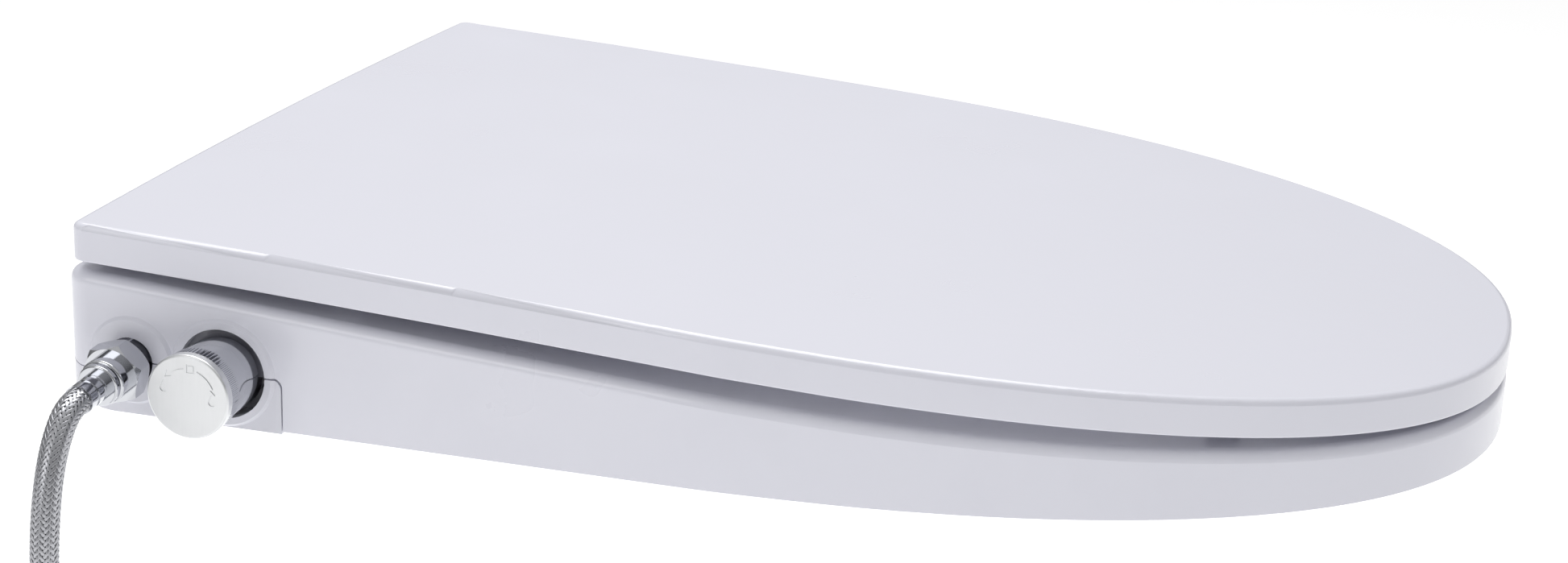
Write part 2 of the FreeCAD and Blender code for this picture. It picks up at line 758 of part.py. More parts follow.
# ---- the release button ----
def button_shape(low, high, gap):
    """The button's rounded outline along X."""
    half_y, half_z = button_half_y + gap, button_half_z + gap
    y, z = (button_y - half_y, button_y + half_y), (button_z - half_z, button_z + half_z)
    solid = block((low, high), y, z)
    corners = [e for e in solid.Edges if abs(e.CenterOfMass.x - (low + high) / 2) < 0.01]
    return solid.makeFillet(half_z - 0.5, corners)


def release_button():
    cap = button_shape(seat_half - button_depth, seat_half + button_proud, 0)
    face = [e for e in cap.Edges if e.CenterOfMass.x > seat_half + button_proud - 0.01]
    cap = cap.makeFillet(0.8, face)
    inner = seat_half - housing_wall - 0.3
    y = (button_y - button_half_y - 2, button_y + button_half_y + 2)
    flange = block((inner - 2.5, inner), y, (button_z - 7.3, button_z + button_half_z + 2))
    return joined([cap, flange])


def latch_bar():
    """The bar with a keyhole that grips the plate's post."""
    bar = block((post_x() + 19, seat_half - button_depth), (button_y - 5, button_y + 5), (4.8, 9.5))
    tongue = block((post_x() - 5, post_x() + 20), (button_y - 5, button_y + 5), (4.8, 7.2))
    narrow = block((post_x() - 2.4, post_x() + 5), (button_y - 2.3, button_y + 2.3), (0, 20))
    wide = rod(3.7, (post_x() + button_travel + 1.5, button_y, 0), (0, 0, 1), 20)
    return joined([bar, tongue]).cut([narrow, wide])


def coil_spring(radius, wire, length, turns, start, way):
    """A round-wire coil between two planes, each half turn an arc in its own tilted plane."""
    rise = (length - 2 * wire) / turns / 2
    bulge = math.hypot(radius, rise / 2)
    arcs = []
    for i in range(2 * turns):
        side = 1 if i % 2 == 0 else -1
        low = wire + i * rise
        near, far = V(side * radius, 0, low), V(-side * radius, 0, low + rise)
        arcs.append(Part.Arc(near, V(0, side * bulge, low + rise / 2), far).toShape())
    section = Part.Wire([Part.Circle(V(radius, 0, wire), V(0, 1, 0), wire).toShape()])
    coil = Part.Wire(arcs).makePipeShell([section], True, False)
    turn = FreeCAD.Rotation(V(0, 0, 1), V(*way))
    coil.Placement = FreeCAD.Placement(V(*start), turn)
    return coil


def latch_spring():
    """Pushes the button out again."""
    start = seat_half - button_depth - spring_length
    return coil_spring(3.5, 0.45, spring_length, 7, (start, button_y - 9.5, button_z), (1, 0, 0))


# ---- the hinges ----
def hinge_pins():
    """The two fixed pins that the arms turn on."""
    pins = [across(pin_radius, hinge_y, hinge_z, span(s, bay_inner, bay_outer)) for s in LEFT_RIGHT]
    return Part.makeCompound(pins)


def damper(side):
    """A slow-close damper on the pin, held by a foot on the tray."""
    middle = (lid_arm_x + seat_arm_x) / 2
    x = span(side, middle - damper_length / 2, middle + damper_length / 2)
    foot = block(x, (hinge_y - 6, hinge_y + 6), (seam_height, hinge_z))
    body = across(damper_radius, hinge_y, hinge_z, x)
    body = body.common(block(x, (0, TALL), (seam_height, TALL)))
    return joined([body, foot]).cut(across(pin_radius, hinge_y, hinge_z, x))


# ---- the water inlet ----
def on_inlet(shape):
    """Moves a piece drawn along -X from the origin onto the drooping inlet line."""
    placed = shape.copy()
    placed.rotate(V(0, 0, 0), V(0, 1, 0), -inlet_tilt)
    placed.translate(V(-side_face, inlet_y, inlet_z))
    return placed


def reach(outer, inner, start, end):
    """A tube on the inlet line between two distances out from the side face."""
    solid = rod(outer, (-start, 0, 0), (-1, 0, 0), end - start)
    return solid.cut(rod(inner, (-start, 0, 0), (-1, 0, 0), end - start)) if inner else solid


def inlet_union():
    stem = reach(union_radius, 4.6, -30.0, nut_end - 1.6)
    flange = reach(7.9, 4.6, -12.0, -9.5)
    return on_inlet(joined([stem, flange]))


def inlet_filter():
    cup = reach(4.5, 3.9, -8.0, 9.0)
    cap = reach(4.5, 0, -8.6, -8.0)
    return on_inlet(joined([cup, cap]))


def inlet_washer():
    return on_inlet(reach(6.9, 4.7, nut_end - 1.6, nut_end))


def hose_nut():
    bar = hexagon(nut_flats, -nut_start, nut_end - nut_start)
    bevel = Part.makeCone(nut_flats / 2 - 0.3, nut_flats / 2 + 12, 12.3, V(-nut_start, 0, 0), V(-1, 0, 0))
    bevel_out = Part.makeCone(nut_flats / 2, nut_flats / 2 + 12, 12, V(-nut_end, 0, 0), V(1, 0, 0))
    bar = bar.common(bevel).common(bevel_out)
    neck = reach(8.7, 0, nut_end - 0.5, neck_end)
    neck = neck.makeFillet(1.0, edges_where(neck, lambda p: p.x < -neck_end + 0.01))
    bores = [reach(union_radius + running_gap, 0, 0, nut_end + 3), reach(5.3, 0, 0, neck_end + 1)]
    return on_inlet(joined([bar, neck]).cut(bores))


def hose_tail(place=on_inlet):
    collar = reach(7.0, 0, nut_end, nut_end + 2.5)
    stem = reach(5.2, 0, nut_end, neck_end + 0.4)
    ring_part = reach(8.0, 0, neck_end + 0.3, flange_end)
    edge = edges_where(ring_part, lambda p: p.x < -neck_end)
    ring_part = ring_part.makeFillet(0.8, edge)
    barb = reach(3.4, 0, flange_end - 0.5, ferrule_end)
    bore = reach(2.6, 0, 0, ferrule_end + 1)
    return place(joined([collar, stem, ring_part, barb]).cut(bore))


def crimp_ferrule(place=on_inlet):
    tube = reach(ferrule_radius, 3.4, flange_end, ferrule_end)
    grooves = []
    for at in (flange_end + 3.0, flange_end + 7.5):
        grooves.append(reach(ferrule_radius + 1, ferrule_radius - 0.35, at, at + 1.6))
    return place(tube.cut(grooves))


def hose_points():
    """The hose's corner points, starting on the ferrule's end."""
    tilt = math.radians(inlet_tilt)
    start = V(-side_face - ferrule_end * math.cos(tilt), inlet_y, inlet_z - ferrule_end * math.sin(tilt))
    return [start] + [V(-side_face - out, inlet_y, inlet_z - drop) for out, drop in hose_route]


def round_path(points, share=0.45):
    """Straight runs joined by tangent arcs, each as large as its two runs allow."""
    edges, radii = [], []
    last = points[0]
    for before, at, after in zip(points, points[1:], points[2:]):
        come, leave = (at - before), (after - at)
        run = min(come.Length, leave.Length)
        come.normalize()
        leave.normalize()
        half_turn = math.acos(max(-1, min(1, come.dot(leave)))) / 2
        trim = share * run
        radius = trim / math.tan(half_turn)
        start, end = at - come * trim, at + leave * trim
        inward = (leave - come).normalize()
        middle = at + inward * (radius / math.cos(half_turn) - radius)
        edges.append(Part.LineSegment(last, start).toShape())
        edges.append(Part.Arc(start, middle, end).toShape())
        radii.append(radius)
        last = end
    edges.append(Part.LineSegment(last, points[-1]).toShape())
    return Part.Wire(edges), radii


def sweep(points, radius):
    """A round bar along a path, with its bend radii."""
    path, radii = round_path(points)
    way = points[1] - points[0]
    section = Part.Wire([Part.Circle(points[0], way, radius).toShape()])
    return path.makePipeShell([section], True, False), path.Length, radii


def braided_hose():
    solid, length, radii = sweep(hose_points(), hose_radius)
    expected = math.pi * hose_radius ** 2 * length
    print("hose length", round(length, 1), "volume ratio", round(solid.Volume / expected, 4))
    print("hose bend radii", [round(r, 1) for r in radii])
    return solid


def on_supply_end(shape):
    """Moves a piece drawn along -X, as on the inlet, onto the hose's lower end."""
    a, b = hose_points()[-2:]
    way = (b - a).normalize()
    placed = shape.copy()
    placed.translate(V(ferrule_end, 0, 0))
    turn = FreeCAD.Rotation(V(1, 0, 0), way)
    placed.Placement = FreeCAD.Placement(b, turn).multiply(placed.Placement)
    return placed


def supply_nut():
    """The larger nut that screws onto the water supply's tee."""
    high = nut_end + 4.0
    low = high - supply_thread_length - 6.0
    bar = hexagon(supply_flats, -low, high - low)
    thread = reach(supply_thread, 0, low - 1, low + supply_thread_length)
    seat = reach(supply_thread - 0.7, 0, low, high - 1.5)
    neck = reach(8.7, 0, high - 0.5, neck_end)
    return on_supply_end(joined([bar, neck]).cut([thread, seat, reach(5.3, 0, 0, neck_end + 1)]))


def supply_washer():
    top = nut_end
    return on_supply_end(reach(supply_thread - 0.8, 5.5, top - 2.0, top))


# ---- the valve and knob ----
def valve_body():
    body = across(valve_radius, knob_y, knob_z, (-valve_outer, -valve_inner))
    floor = tray_bottom + floor_wall
    foot = block((-valve_outer + 6, -valve_inner - 6), (knob_y - 9, knob_y + 9), (floor, knob_z))
    neck = across(neck_radius, knob_y, knob_z, (-valve_outer - 2.5, -valve_outer))
    barbs = [across(barb_radius, y, z, (-valve_inner - 1, -valve_inner + 5)) for y, z in valve_ports()]
    bore_x = (-valve_outer - 10, -valve_outer + 30)
    bore = across(spindle_radius + running_gap, knob_y, knob_z, bore_x)
    return joined([body, foot, neck] + barbs).cut(bore)


def valve_ports():
    """Where the rear wash, front wash and supply ports leave the valve's inner end."""
    return [(knob_y - 4, knob_z + 6.5), (knob_y + 5, knob_z + 8.0), (knob_y + 6, knob_z - 7.0)]


def valve_nut():
    """The gland nut round the spindle."""
    outer, inner = -valve_outer - 4.5, -valve_outer
    thread = across(neck_radius + running_gap, knob_y, knob_z, (outer + 2, inner))
    bore = across(spindle_radius + running_gap, knob_y, knob_z, (outer, inner))
    return across(neck_radius + 2.0, knob_y, knob_z, (outer, inner)).cut([thread, bore])


def valve_spindle():
    """The brass rod from the valve to the knob, with a flat for the knob."""
    front = -side_face - knob_reach
    rodlet = across(spindle_radius, knob_y, knob_z, (front + 10, -valve_outer + 28))
    flat = block((front + 9, -side_face), (knob_y - 5, knob_y + 5), (knob_z + 2.2, knob_z + 6))
    hole = across(1.25, knob_y, knob_z, (front, front + 20))
    return rodlet.cut([flat, hole])


def knob():
    """The chrome barrel that the hand turns."""
    front = -side_face - knob_reach + cap_thick
    grip = across(knob_grip, knob_y, knob_z, (front, front + 6.5))
    grooves = []
    for i in range(grip_ribs):
        turn = 2 * math.pi * i / grip_ribs
        y = knob_y + (knob_grip + 0.1) * math.cos(turn)
        z = knob_z + (knob_grip + 0.1) * math.sin(turn)
        grooves.append(across(grip_groove, y, z, (front - 1, front + 7)))
    grip = grip.cut(grooves)
    barrel = across(knob_barrel, knob_y, knob_z, (front + 3, -side_face + 2.5))
    hollow = across(knob_barrel - 2.0, knob_y, knob_z, (front + 9.5, 0))
    hub = across(6.0, knob_y, knob_z, (front + 6, -side_face))
    shaft = across(spindle_radius + 0.02, knob_y, knob_z, (front + 6.5, 0))
    pocket = across(3.4, knob_y, knob_z, (front - 1, front + 4))
    hole = across(1.4, knob_y, knob_z, (front - 1, front + 9))
    return joined([joined([grip, barrel]).cut(hollow), hub]).cut([shaft, pocket, hole])


def knob_screw():
    front = -side_face - knob_reach + cap_thick
    head = across(3.0, knob_y, knob_z, (front + 2.0, front + 4.0))
    return head.fuse(across(1.25, knob_y, knob_z, (front + 3.0, front + 14.0)))


def on_face(angle, radius):
    """A place on the knob's face, by its angle from the top towards the front."""
    turn = math.radians(angle + mark_lean)
    return knob_y - radius * math.sin(turn), knob_z + radius * math.cos(turn)


def engraved(places):
    """A shallow flat-bottomed cut into the knob's face with this outline."""
    front = -side_face - knob_reach
    outline = Part.makePolygon([V(front - 1, y, z) for y, z in places + places[:1]])
    return Part.Face(outline).extrude(V(1 + mark_depth, 0, 0))


def turn_arc(start, end):
    """A thin arc between two angles that ends in an arrow head."""
    steps = 12
    angles = [start + (end - start) * i / steps for i in range(steps + 1)]
    outer = [on_face(a, mark_radius + 0.35) for a in angles]
    inner = [on_face(a, mark_radius - 0.35) for a in reversed(angles)]
    tip = end + math.copysign(13.0, end - start)
    head = [on_face(end, mark_radius + 1.4), on_face(tip, mark_radius), on_face(end, mark_radius - 1.4)]
    return [engraved(outer + inner), engraved(head)]


def drop_mark(angle):
    """A plain water drop that points up."""
    y, z = on_face(angle, mark_radius - 1.4)
    front = -side_face - knob_reach
    drop = across(1.4, y, z, (front - 1, front + mark_depth))
    return drop.fuse(engraved([(y - 1.25, z + 0.6), (y, z + 3.4), (y + 1.25, z + 0.6)]))


def knob_cap():
    """The satin disc on the knob's end, with engraved turning marks."""
    front = -side_face - knob_reach
    disc = across(knob_face, knob_y, knob_z, (front, front + cap_thick))
    disc = disc.makeFillet(0.8, edges_where(disc, lambda p: p.x < front + 0.01))
    middle_y, middle_z = on_face(0, mark_radius)
    squares = []
    for half in (square_half, square_half - 0.55):
        corners = ((-half, -half), (half, -half), (half, half), (-half, half))
        squares.append(engraved([(middle_y + y, middle_z + z) for y, z in corners]))
    marks = [squares[0].cut(squares[1])]
    marks += turn_arc(*rear_arc) + turn_arc(*front_arc)
    marks += [drop_mark(angle) for angle in drop_angles]
    return disc.cut(marks)


def check_valve():
    """The back-flow preventer behind the inlet."""
    body = reach(7.4, 0, -50.0, -30.0)
    barb = reach(barb_radius, 0, -56.0, -50.0)
    return on_inlet(joined([body, barb]))


# ---- the nozzles ----
def on_nozzle(shape, x=0.0):
    """Moves a piece drawn along +Y from the nozzle's tip onto the sloping nozzle line."""
    placed = shape.copy()
    placed.rotate(V(0, 0, 0), V(1, 0, 0), nozzle_tilt)
    placed.translate(V(x, nozzle_tip_y, nozzle_tip_z))
    return placed


def bar(radius, start, end, x=0.0):
    """A cylinder on the nozzle line between two distances from the tip."""
    return rod(radius, (x, start, 0), (0, 1, 0), end - start)


def holder_block(gap):
    """The holder's outside before it is tilted, grown by a gap."""
    half = nozzle_x + chamber_radius + 2.0 + gap
    z = (-chamber_radius - 1.3 - gap, chamber_radius + 1.3 + gap)
    return block((-half, half), (collar_start - gap, chamber_end + 2 + gap), z)


def nozzle_holder():
    """The block with two chambers that the nozzles slide out of."""
    half = nozzle_x + chamber_radius
    body = holder_block(0)
    barbs, bores = [], []
    for side in LEFT_RIGHT:
        x = side * nozzle_x
        barbs.append(bar(barb_radius, chamber_end + 1, chamber_end + 7, x))
        bores.append(bar(chamber_radius, collar_start + collar_length, chamber_end, x))
        bores.append(bar(nozzle_radius + 0.08, collar_start - 1, collar_start + collar_length + 1, x))
    solid = on_nozzle(joined([body] + barbs).cut(bores))
    floor = tray_bottom + floor_wall
    step = recess_height + housing_wall
    legs = []
    for low, y in ((floor, (-52.0, -40.0)), (step, (4.0, 16.0))):
        leg = block((-half, half), y, (low, 40.0))
        legs.append(leg.cut(on_nozzle(block((-60, 60), (-200, 300), (-chamber_radius - 1, 200)))))
    return joined([solid] + legs)


def nozzle(x):
    """One nozzle tube with its piston."""
    tube = bar(nozzle_radius, 6.0, nozzle_length)
    piston = bar(piston_radius, nozzle_length - piston_length, nozzle_length)
    return on_nozzle(joined([tube, piston]), x)


def nozzle_tip(x, holes):
    """The spray head on a nozzle's end, with its holes on top."""
    tip = bar(nozzle_radius, -4.0, 6.0)
    tip = tip.makeFillet(2.5, edges_where(tip, lambda p: p.y < -3.9))
    cuts = [rod(0.5, (a, b, 0), (0, 0, 1), 10) for a, b in holes]
    return on_nozzle(tip.cut(cuts), x)


def nozzle_spring(x):
    """Draws the nozzle back in."""
    low = collar_start + collar_length
    length = nozzle_length - piston_length - low
    spring = coil_spring(nozzle_radius + 0.8, spring_wire, length, 9, (0, low, 0), (0, 1, 0))
    return on_nozzle(spring, x)


def guard_gate():
    """The small splash gate above the nozzles."""
    barrel = across(2.6, gate_y, gate_z, (-gate_half, gate_half))
    plate = block((-gate_half, gate_half), (gate_y - 1.6, gate_y + 0.4), (gate_bottom, gate_z))
    return joined([barrel, plate]).cut(across(gate_pin_radius + running_gap, gate_y, gate_z, (-40, 40)))


def gate_pin():
    return across(gate_pin_radius, gate_y, gate_z, (-gate_half - 5, gate_half + 5))


# ---- the inner tubes ----
def tube_start(index):
    y, z = valve_ports()[index]
    return V(-valve_inner + 5, y, z)


def nozzle_port(x):
    """The end of a chamber's barb and the direction that it points."""
    tilt = math.radians(nozzle_tilt)
    out = V(0, math.cos(tilt), math.sin(tilt))
    return V(x, nozzle_tip_y, nozzle_tip_z) + out * (chamber_end + 7), out


def water_tube(index, x, turn_x, row_y):
    """A soft tube from a valve port to a nozzle chamber."""
    start = tube_start(index)
    port, out = nozzle_port(x)
    high = port.z + (row_y - port.y) * out.z / out.y
    points = [start, V(turn_x, start.y, start.z), V(turn_x + 24, row_y, high)]
    points += [V(x, row_y, high), port]
    return sweep(points, barb_radius)[0]


def supply_tube():
    """A soft tube from the check valve round to the valve's supply port."""
    tilt = math.radians(inlet_tilt)
    out = V(math.cos(tilt), 0, math.sin(tilt))
    start = V(-side_face, inlet_y, inlet_z) + out * 56.0
    far = -valve_inner + 15.0
    end = tube_start(2)
    points = [start, V(far, inlet_y, start.z + (far - start.x) * math.tan(tilt))]
    points += [V(far, end.y, end.z), end]
    return sweep(points, barb_radius)[0]


def tube_clip():
    """A saddle that holds the two wash tubes down."""
    rear, front = tube_start(0), tube_start(1)
    x = (-110.0, -105.0)
    low = tray_bottom + floor_wall
    solid = block(x, (rear.y - 5, front.y + 5), (low, front.z + 3))
    return solid.cut([across(barb_radius, p.y, p.z, (x[0] - 1, x[1] + 1)) for p in (rear, front)])


PIECES = {
    "lid_panel": lid_panel,
    "lid_bumpers": lid_bumpers,
    "seat_ring": seat_ring,
    "seat_underplate": seat_underplate,
    "seat_screws": seat_screws,
    "seat_bumpers": seat_bumpers,
    "housing_base": housing_base,
    "housing_cover": housing_cover,
    "housing_screws": housing_screws,
    "foot_pads": foot_pads,
    "mounting_plate": mounting_plate,
    "fixing_bolts": fixing_bolts,
    "slide_washers": slide_washers,
    "release_button": release_button,
    "latch_bar": latch_bar,
    "latch_spring": latch_spring,
    "hinge_pins": hinge_pins,
    "lid_damper": lambda: damper(-1),
    "seat_damper": lambda: damper(1),
    "inlet_union": inlet_union,
    "inlet_filter": inlet_filter,
    "inlet_washer": inlet_washer,
    "check_valve": check_valve,
    "hose_nut": hose_nut,
    "hose_tail": hose_tail,
    "crimp_ferrule": crimp_ferrule,
    "braided_hose": braided_hose,
    "supply_ferrule": lambda: crimp_ferrule(on_supply_end),
    "supply_tail": lambda: hose_tail(on_supply_end),
    "supply_nut": supply_nut,
    "supply_washer": supply_washer,
    "valve_body": valve_body,
    "valve_nut": valve_nut,
    "valve_spindle": valve_spindle,
    "knob": knob,
    "knob_screw": knob_screw,
    "knob_cap": knob_cap,
    "nozzle_holder": nozzle_holder,
    "rear_nozzle": lambda: nozzle(-nozzle_x),
    "front_nozzle": lambda: nozzle(nozzle_x),
    "rear_nozzle_tip": lambda: nozzle_tip(-nozzle_x, [(0.0, 1.0)]),
    "front_nozzle_tip": lambda: nozzle_tip(nozzle_x, [(-1.2, 0.0), (1.2, 0.0), (0.0, 2.0)]),
    "rear_nozzle_spring": lambda: nozzle_spring(-nozzle_x),
    "front_nozzle_spring": lambda: nozzle_spring(nozzle_x),
    "guard_gate": guard_gate,
    "gate_pin": gate_pin,
    "rear_wash_tube": lambda: water_tube(0, -nozzle_x, -78.0, 45.5),
    "front_wash_tube": lambda: water_tube(1, nozzle_x, -86.0, 51.0),
    "supply_tube": supply_tube,
    "tube_clip": tube_clip,
}

os.makedirs("parts", exist_ok=True)
for name, make in PIECES.items():
    shape = make()
    shape.exportStep("parts/" + name + ".step")
    print(name, "solids", len(shape.Solids), "valid", shape.isValid(), "volume", round(shape.Volume))
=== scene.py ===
# %% [markdown]
# # A slim bidet seat, built around its packed design
# The design already holds every casing, hinge, nozzle and nut at its real size. This file
# adds what the eye needs: the woven hose, the finishes, the light and the viewpoint. We load
# the design first and keep its box, because nothing we add may stand far outside it.

# %% load the design
import bpy
import json
import math
from mathutils import Matrix, Vector


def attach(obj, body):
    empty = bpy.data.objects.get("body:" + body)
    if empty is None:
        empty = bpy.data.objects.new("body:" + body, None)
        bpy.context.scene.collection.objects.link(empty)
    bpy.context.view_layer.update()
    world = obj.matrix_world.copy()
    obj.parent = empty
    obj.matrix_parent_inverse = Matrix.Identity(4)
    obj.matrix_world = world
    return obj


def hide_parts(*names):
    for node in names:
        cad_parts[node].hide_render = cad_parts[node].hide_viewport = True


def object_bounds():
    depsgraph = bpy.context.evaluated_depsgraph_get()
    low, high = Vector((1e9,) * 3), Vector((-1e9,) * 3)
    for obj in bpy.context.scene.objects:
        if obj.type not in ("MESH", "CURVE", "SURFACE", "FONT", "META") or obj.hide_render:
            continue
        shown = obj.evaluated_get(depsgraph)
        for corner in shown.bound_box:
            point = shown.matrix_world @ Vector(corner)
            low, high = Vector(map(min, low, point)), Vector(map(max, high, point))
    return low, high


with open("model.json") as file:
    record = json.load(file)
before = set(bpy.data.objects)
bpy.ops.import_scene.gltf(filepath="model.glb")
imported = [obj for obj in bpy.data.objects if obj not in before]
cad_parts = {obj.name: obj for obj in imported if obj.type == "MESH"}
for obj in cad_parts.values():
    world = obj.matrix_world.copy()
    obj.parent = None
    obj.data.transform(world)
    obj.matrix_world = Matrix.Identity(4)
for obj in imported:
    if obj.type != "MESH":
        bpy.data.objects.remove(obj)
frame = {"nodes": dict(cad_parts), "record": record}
design_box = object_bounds()
mm = 0.001
print("pieces:", len(frame["nodes"]))

# %% [markdown]
# ## The viewpoint
# A product picture of a long flat object is taken with a long lens from a little above. We
# place the camera by two angles and a distance from a point in the middle of the seat, and
# roll it slightly. A small lens shift keeps the seat to the left in the frame without
# turning the camera, which would bend the perspective.

# %% camera
view_azimuth, view_height, view_roll = map(math.radians, (-76.85, 17.55, 2.82))
view_distance = 1.130
view_target = Vector((0.0, -0.210, 0.0315))


def camera_axes(azimuth, height, roll):
    """The camera's right, up and backward directions."""
    back = Vector((math.sin(azimuth) * math.cos(height),
                   -math.cos(azimuth) * math.cos(height),
                   math.sin(height)))
    level = Vector((0, 0, 1)).cross(back).normalized()
    rise = back.cross(level)
    right = level * math.cos(roll) + rise * math.sin(roll)
    return right, back.cross(right), back


right, up, back = camera_axes(view_azimuth, view_height, view_roll)
lens = bpy.data.cameras.new("view")
lens.sensor_width = 36.0
lens.lens = 62.62
lens.shift_x, lens.shift_y = -0.0616, -0.0081
camera = bpy.data.objects.new("view", lens)
camera.matrix_world = Matrix.Translation(view_target + back * view_distance) @ Matrix(
    (right, up, back)).transposed().to_4x4()
bpy.context.scene.collection.objects.link(camera)
bpy.context.scene.camera = camera
bpy.context.scene.view_settings.view_transform = "Standard"
print("camera at", [round(c, 3) for c in camera.matrix_world.translation])

# %% [markdown]
# ## The supply hose's line
# A braided water hose leaves its crimped sleeve, bends over under its own weight and hangs
# straight down to the shut-off valve. Its line is one smooth spline through a short list of
# control points, the same points that the design uses for its plain solid.

# %% hose line
inlet_tilt = math.radians(4.0)
side_face, sleeve_end, inlet_y, inlet_z = 186.5, 38.0, 30.0, 21.7
hose_start = (-side_face - sleeve_end * math.cos(inlet_tilt), inlet_z - sleeve_end * math.sin(inlet_tilt))
hose_route = [
    hose_start,
    (-231.0, 18.59),
    (-238.6, 12.2),
    (-244.6, 2.6),
    (-248.4, -8.5),
    (-251.0, -21.0),
    (-252.5, -35.0),
    (-253.2, -57.0),
    (-252.7, -94.0),
    (-250.3, -150.0),
    (-251.4, -222.0),
    (-253.8, -288.0),
    (-253.2, -338.0),
]


def smooth_line(name, points):
    """A NURBS curve object with these control points."""
    curve = bpy.data.curves.new(name, "CURVE")
    curve.dimensions = "3D"
    spline = curve.splines.new("NURBS")
    spline.points.add(len(points) - 1)
    for slot, point in zip(spline.points, points):
        slot.co = (*point, 1.0)
    spline.order_u = 3
    spline.use_endpoint_u = True
    spline.resolution_u = 24
    piece = bpy.data.objects.new(name, curve)
    bpy.context.scene.collection.objects.link(piece)
    return piece


def line_points(piece):
    """The points of a curve with no bevel, in order."""
    mesh = bpy.data.meshes.new_from_object(piece)
    points = [v.co.copy() for v in mesh.vertices]
    bpy.data.meshes.remove(mesh)
    return points


def evenly(points, step):
    """The same line with points a fixed step apart, ends kept."""
    runs = [(b - a).length for a, b in zip(points, points[1:])]
    count = max(2, round(sum(runs) / step))
    out, at, index = [points[0]], 0.0, 0
    for k in range(1, count):
        want = sum(runs) * k / count
        while at + runs[index] < want:
            at += runs[index]
            index += 1
        out.append(points[index].lerp(points[index + 1], (want - at) / runs[index]))
    return out + [points[-1]]


hose_core = smooth_line("hose_core", [(x * mm, inlet_y * mm, z * mm) for x, z in hose_route])
hose_line = line_points(hose_core)

# %% [markdown]
# ## The woven wire jacket
# The jacket is a tube of flat wire bands, half of them winding left and half right. Each band
# goes over two and under two of the others, which draws the small arrow pattern. We could
# paint that with a texture, but the bands catch the light one by one, so each is a real
# ribbon that rises and dips as it crosses its neighbours.

# %% hose jacket
hose_radius = 4.78 * mm
band_count = 16
band_pitch = 36.0 * mm
band_lift = 0.19 * mm
band_thick = 0.20 * mm
band_fill = 0.80
band_step = 1.1 * mm
core_gap = 0.35 * mm
band_profile = [(-1.0, 0.1), (-0.66, 0.9), (-0.33, 0.6), (0.0, 1.0), (0.33, 0.6), (0.66, 0.9), (1.0, 0.1)]


def carried_frames(points):
    """Tangent and two side directions at each point, turned as little as possible."""
    frames, side = [], Vector((0, 1, 0))
    for i, point in enumerate(points):
        way = (points[min(i + 1, len(points) - 1)] - points[max(i - 1, 0)]).normalized()
        side = (side - way * side.dot(way)).normalized()
        frames.append((point, way, side, way.cross(side)))
    return frames


def woven_jacket(name, points):
    """All the bands of the jacket as one mesh."""
    frames = carried_frames(points)
    step = sum((b - a).length for a, b in zip(points, points[1:])) / (len(points) - 1)
    lean = math.atan(2 * math.pi * hose_radius / band_pitch)
    half_width = math.pi * hose_radius / band_count * math.cos(lean) * band_fill
    verts, faces = [], []
    for hand in (1, -1):
        for band in range(band_count):
            first = len(verts)
            for i, (point, way, side, lift) in enumerate(frames):
                turns = i * step / band_pitch
                angle = 2 * math.pi * (band / band_count + hand * turns)
                count = 2 * band + hand * 2 * band_count * turns
                wave = math.sin(math.pi / 2 * count + math.pi / 4)
                rise = hand * band_lift * max(-1.0, min(1.0, 1.5 * wave))
                out = side * math.cos(angle) + lift * math.sin(angle)
                round_way = lift * math.cos(angle) - side * math.sin(angle)
                across = round_way * math.cos(lean) - way * (hand * math.sin(lean))
                centre = point + out * (hose_radius + rise)
                for place, height in band_profile:
                    verts.append(centre + across * (place * half_width) + out * (height * band_thick))
                verts.append(centre + across * half_width - out * band_thick * 0.3)
                verts.append(centre - across * half_width - out * band_thick * 0.3)
            ring = len(band_profile) + 2
            for i in range(len(frames) - 1):
                for k in range(ring):
                    a, b = first + i * ring + k, first + i * ring + (k + 1) % ring
                    faces.append((a, b, b + ring, a + ring))
            faces.append(tuple(first + k for k in reversed(range(ring))))
            faces.append(tuple(len(verts) - ring + k for k in range(ring)))
    mesh = bpy.data.meshes.new(name)
    mesh.from_pydata(verts, [], faces)
    mesh.shade_smooth()
    piece = bpy.data.objects.new(name, mesh)
    bpy.context.scene.collection.objects.link(piece)
    return piece


def as_mesh(piece):
    """The same piece as a plain mesh, which has exact extents."""
    name, curve = piece.name, piece.data
    mesh = bpy.data.meshes.new_from_object(piece)
    mesh.name = name
    mesh.shade_smooth()
    bpy.data.objects.remove(piece)
    bpy.data.curves.remove(curve)
    made = bpy.data.objects.new(name, mesh)
    bpy.context.scene.collection.objects.link(made)
    return made


jacket_line = evenly(hose_line, band_step)
jacket = woven_jacket("hose_jacket", jacket_line)
hose_core.data.bevel_depth = hose_radius - core_gap
hose_core.data.bevel_resolution = 6
hose_core.data.use_fill_caps = True
hose_core = as_mesh(hose_core)
print("jacket faces:", len(jacket.data.polygons))

# %% hose belongs to the housing
for piece in (jacket, hose_core):
    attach(piece, "base")
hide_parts("braided_hose")

# %% [markdown]
# ## Shared surface effects
# Three effects come back in several finishes, so each is a node group that is built once:
# the faint orange-peel of moulded plastic, the fine lines that a lathe or a polishing wheel
# leaves, and the light soiling that gathers unevenly on any handled thing. A group only puts
# out values that vary over the surface; each material keeps its own shader.

# %% group helpers


def new_group(name, inputs, outputs):
    """An empty node group with number inputs, colour inputs and outputs."""
    group = bpy.data.node_groups.new(name, "ShaderNodeTree")
    for label, kind, value in inputs:
        socket = group.interface.new_socket(label, in_out="INPUT", socket_type=kind)
        socket.default_value = value
    for label, kind in outputs:
        group.interface.new_socket(label, in_out="OUTPUT", socket_type=kind)
    start = group.nodes.new("NodeGroupInput")
    end = group.nodes.new("NodeGroupOutput")
    return group, start, end


